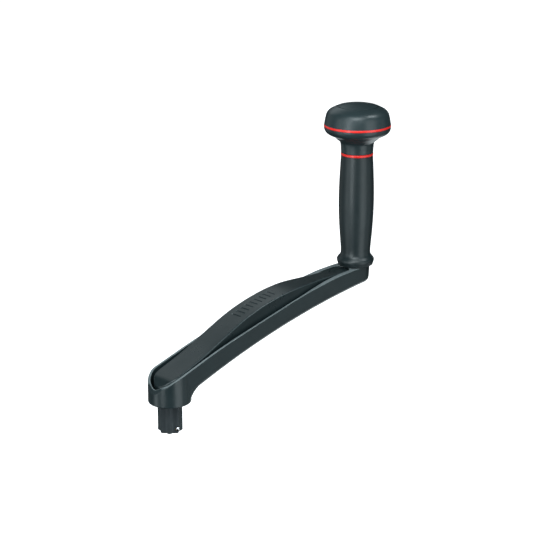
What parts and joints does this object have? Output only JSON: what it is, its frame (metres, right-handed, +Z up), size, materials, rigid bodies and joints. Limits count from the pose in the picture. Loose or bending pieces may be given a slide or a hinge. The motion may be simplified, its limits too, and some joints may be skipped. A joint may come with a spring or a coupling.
{
  "type": "winch handle",
  "caption": "Lock-in winch handle: curved channel arm with a full-length release lever, star spindle with sprung lock pins, and a spinning grip topped by a palm knob.",
  "frame": {"origin": "on the spindle axis at the hub's bottom shoulder face", "axes": "+X along the arm from the spindle to the grip, +Y to the left of the arm seen from above the spindle looking to the grip, +Z up along the spindle axis towards the grip"},
  "size_m": [0.3086, 0.0678, 0.2807],
  "materials": {
    "arm_plastic": "moulded, fine grain",
    "lever_plastic": "moulded, satin",
    "grip_plastic": "soft-touch",
    "core_plastic": "moulded",
    "knob_plastic": "moulded, satin",
    "ring_red": "glossy red",
    "disc_plastic": "satin",
    "spindle_alloy": "dark hard-anodised",
    "stainless": "turned stainless",
    "pin_steel": "polished stainless",
    "bearing_steel": "ground steel",
    "insert_brass": "turned brass",
    "bush_bronze": "turned bronze",
    "spacer_alloy": "turned"
  },
  "bodies": {
    "arm": {"arm": "arm_plastic", "drive_spindle": "spindle_alloy", "threaded_inserts": "insert_brass", "spindle_screws": "stainless", "pin_guide_bushes": "bush_bronze", "plunger_circlip": "stainless", "plunger_spring": "stainless", "lever_pivot_pin": "stainless", "grip_axle": "stainless", "axle_washer": "stainless", "axle_nut": "stainless", "top_washer": "stainless", "top_screw": "stainless", "grip_spacer": "spacer_alloy", "neck_spacer": "spacer_alloy", "knob_spacer": "spacer_alloy", "grip_lower_inner_race": "bearing_steel", "grip_upper_inner_race": "bearing_steel", "knob_lower_inner_race": "bearing_steel", "knob_upper_inner_race": "bearing_steel"},
    "lever": {"release_lever": "lever_plastic"},
    "plunger": {"lock_plunger": "stainless"},
    "lock_pin_left": {"lock_pin_left": "pin_steel"},
    "lock_pin_right": {"lock_pin_right": "pin_steel"},
    "grip": {"grip_core": "core_plastic", "grip_cover": "grip_plastic", "neck_ring": "ring_red", "grip_lower_outer_race": "bearing_steel", "grip_upper_outer_race": "bearing_steel"},
    "knob": {"knob_body": "knob_plastic", "knob_ring": "ring_red", "knob_cap": "knob_plastic", "top_disc": "disc_plastic", "knob_lower_outer_race": "bearing_steel", "knob_upper_outer_race": "bearing_steel"},
    "grip_lower_balls": {"grip_lower_balls": "bearing_steel"},
    "grip_upper_balls": {"grip_upper_balls": "bearing_steel"},
    "knob_lower_balls": {"knob_lower_balls": "bearing_steel"},
    "knob_upper_balls": {"knob_upper_balls": "bearing_steel"}
  },
  "joints": [
    {"name": "lever_press", "type": "hinge", "parent": "arm", "child": "lever", "pos_m": [0.222, 0, 0.075], "axis": [0, -1, 0], "range_deg": [0, 0.903], "stiffness_Nm_per_rad": 98, "springref_deg": -1.03},
    {"name": "plunger_slide", "type": "slide", "parent": "arm", "child": "plunger", "axis": [0, 0, -1], "range_m": [0, 0.0035], "deforming": ["plunger_spring"]},
    {"name": "lock_pin_left_slide", "type": "slide", "parent": "arm", "child": "lock_pin_left", "axis": [0, -1, 0], "range_m": [0, 0.0011]},
    {"name": "lock_pin_right_slide", "type": "slide", "parent": "arm", "child": "lock_pin_right", "axis": [0, 1, 0], "range_m": [0, 0.0011]},
    {"name": "grip_spin", "type": "hinge", "parent": "arm", "child": "grip", "pos_m": [0.254, 0, 0.1], "axis": [0, 0, 1], "continuous": true},
    {"name": "knob_spin", "type": "hinge", "parent": "arm", "child": "knob", "pos_m": [0.254, 0, 0.1], "axis": [0, 0, 1], "continuous": true},
    {"name": "grip_lower_balls_spin", "type": "hinge", "parent": "arm", "child": "grip_lower_balls", "pos_m": [0.254, 0, 0.1], "axis": [0, 0, 1], "continuous": true},
    {"name": "grip_upper_balls_spin", "type": "hinge", "parent": "arm", "child": "grip_upper_balls", "pos_m": [0.254, 0, 0.1], "axis": [0, 0, 1], "continuous": true},
    {"name": "knob_lower_balls_spin", "type": "hinge", "parent": "arm", "child": "knob_lower_balls", "pos_m": [0.254, 0, 0.1], "axis": [0, 0, 1], "continuous": true},
    {"name": "knob_upper_balls_spin", "type": "hinge", "parent": "arm", "child": "knob_upper_balls", "pos_m": [0.254, 0, 0.1], "axis": [0, 0, 1], "continuous": true}
  ],
  "couplings": [
    {"joint": "plunger_slide", "follows": "lever_press", "m_per_rad": 0.222},
    {"joint": "lock_pin_left_slide", "follows": "lever_press", "m_per_rad": 0.0697},
    {"joint": "lock_pin_right_slide", "follows": "lever_press", "m_per_rad": 0.0697},
    {"joint": "grip_lower_balls_spin", "follows": "grip_spin", "ratio": 0.572},
    {"joint": "grip_upper_balls_spin", "follows": "grip_spin", "ratio": 0.572},
    {"joint": "knob_lower_balls_spin", "follows": "knob_spin", "ratio": 0.572},
    {"joint": "knob_upper_balls_spin", "follows": "knob_spin", "ratio": 0.572}
  ]
}
